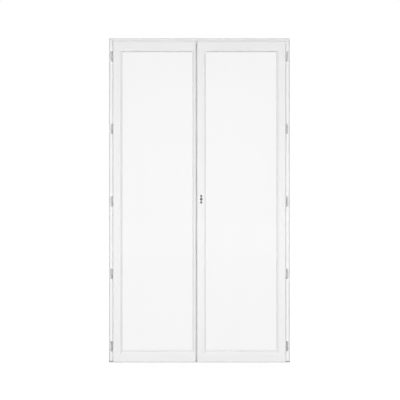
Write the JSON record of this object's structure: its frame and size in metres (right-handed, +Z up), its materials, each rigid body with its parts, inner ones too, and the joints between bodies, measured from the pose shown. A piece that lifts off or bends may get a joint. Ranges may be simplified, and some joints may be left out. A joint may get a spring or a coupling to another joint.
{
  "type": "french doors",
  "caption": "White glazed french doors in their frame: tall leaves on pin hinges that close on each other, with a rack-driven bolt lock and an aluminium threshold.",
  "frame": {"origin": "underside of the threshold, at the middle of the frame's width and of the frame's depth", "axes": "+X to the right seen from the room, +Y outdoors, +Z up"},
  "size_m": [1.2, 0.091, 2.15],
  "materials": {
    "white_lacquer": "white satin lacquer on timber",
    "sill_aluminium": "satin anodised",
    "clear_glass": "clear float glass",
    "grey_seal": "matte light grey",
    "glazing_rubber": "matte grey",
    "spacer_aluminium": "white coated",
    "edge_sealant": "matte black",
    "setting_plastic": "matte",
    "hinge_steel": "satin plated",
    "washer_nylon": "natural nylon",
    "plated_steel": "zinc plated",
    "blackened_steel": "black phosphated",
    "pinion_steel": "machined, oiled"
  },
  "bodies": {
    "frame": {"left_jamb": "white_lacquer", "right_jamb": "white_lacquer", "head": "white_lacquer", "threshold": "sill_aluminium", "left_jamb_seal": "grey_seal", "right_jamb_seal": "grey_seal", "head_seal": "grey_seal", "threshold_seal": "grey_seal", "left_frame_hinges": "hinge_steel", "right_frame_hinges": "hinge_steel", "head_keep": "plated_steel", "threshold_keep": "plated_steel"},
    "left_leaf": {"left_hinge_stile": "white_lacquer", "left_meeting_stile": "white_lacquer", "left_top_rail": "white_lacquer", "left_bottom_rail": "white_lacquer", "left_inner_pane": "clear_glass", "left_outer_pane": "clear_glass", "left_spacer": "spacer_aluminium", "left_edge_sealant": "edge_sealant", "left_top_bead": "white_lacquer", "left_bottom_bead": "white_lacquer", "left_hinge_bead": "white_lacquer", "left_meeting_bead": "white_lacquer", "left_inner_gasket": "glazing_rubber", "left_outer_gasket": "glazing_rubber", "left_setting_blocks": "setting_plastic", "left_drip_rail": "white_lacquer", "left_leaf_hinges": "hinge_steel", "left_cover_strip": "white_lacquer", "left_strip_seal": "grey_seal", "left_bolt_plates": "plated_steel"},
    "right_leaf": {"right_hinge_stile": "white_lacquer", "right_meeting_stile": "white_lacquer", "right_top_rail": "white_lacquer", "right_bottom_rail": "white_lacquer", "right_inner_pane": "clear_glass", "right_outer_pane": "clear_glass", "right_spacer": "spacer_aluminium", "right_edge_sealant": "edge_sealant", "right_top_bead": "white_lacquer", "right_bottom_bead": "white_lacquer", "right_hinge_bead": "white_lacquer", "right_meeting_bead": "white_lacquer", "right_inner_gasket": "glazing_rubber", "right_outer_gasket": "glazing_rubber", "right_setting_blocks": "setting_plastic", "right_drip_rail": "white_lacquer", "right_leaf_hinges": "hinge_steel", "right_meeting_seal": "grey_seal", "lock_faceplate": "plated_steel", "lock_case": "blackened_steel", "lock_cover": "blackened_steel"},
    "upper_bolt": {"upper_rod": "plated_steel"},
    "lower_bolt": {"lower_rod": "plated_steel"},
    "spindle": {"spindle_pinion": "pinion_steel"},
    "left_top_flush_bolt": {"left_top_bolt": "plated_steel"},
    "left_bottom_flush_bolt": {"left_bottom_bolt": "plated_steel"}
  },
  "joints": [
    {"name": "right_leaf_swing", "type": "hinge", "parent": "frame", "child": "right_leaf", "pos_m": [0.58, -0.0385, 0], "axis": [0, 0, 1], "range_deg": [0, 115]},
    {"name": "left_leaf_swing", "type": "hinge", "parent": "frame", "child": "left_leaf", "pos_m": [-0.58, -0.0385, 0], "axis": [0, 0, -1], "range_deg": [0, 104]},
    {"name": "upper_rod_slide", "type": "slide", "parent": "right_leaf", "child": "upper_bolt", "axis": [0, 0, 1], "range_m": [0, 0.01374]},
    {"name": "lower_rod_slide", "type": "slide", "parent": "right_leaf", "child": "lower_bolt", "axis": [0, 0, -1], "range_m": [0, 0.01374]},
    {"name": "spindle_turn", "type": "hinge", "parent": "right_leaf", "child": "spindle", "pos_m": [0.012, -0.0105, 1.081], "axis": [0, 1, 0], "range_deg": [0, 90]},
    {"name": "left_top_bolt_slide", "type": "slide", "parent": "left_leaf", "child": "left_top_flush_bolt", "axis": [0, 0, 1], "range_m": [0, 0.01374]},
    {"name": "left_bottom_bolt_slide", "type": "slide", "parent": "left_leaf", "child": "left_bottom_flush_bolt", "axis": [0, 0, -1], "range_m": [0, 0.01374]}
  ],
  "couplings": [
    {"joint": "left_leaf_swing", "follows": "right_leaf_swing", "ratio": 0.9},
    {"joint": "lower_rod_slide", "follows": "upper_rod_slide", "ratio": 1},
    {"joint": "spindle_turn", "follows": "upper_rod_slide", "rad_per_m": 114.29}
  ]
}
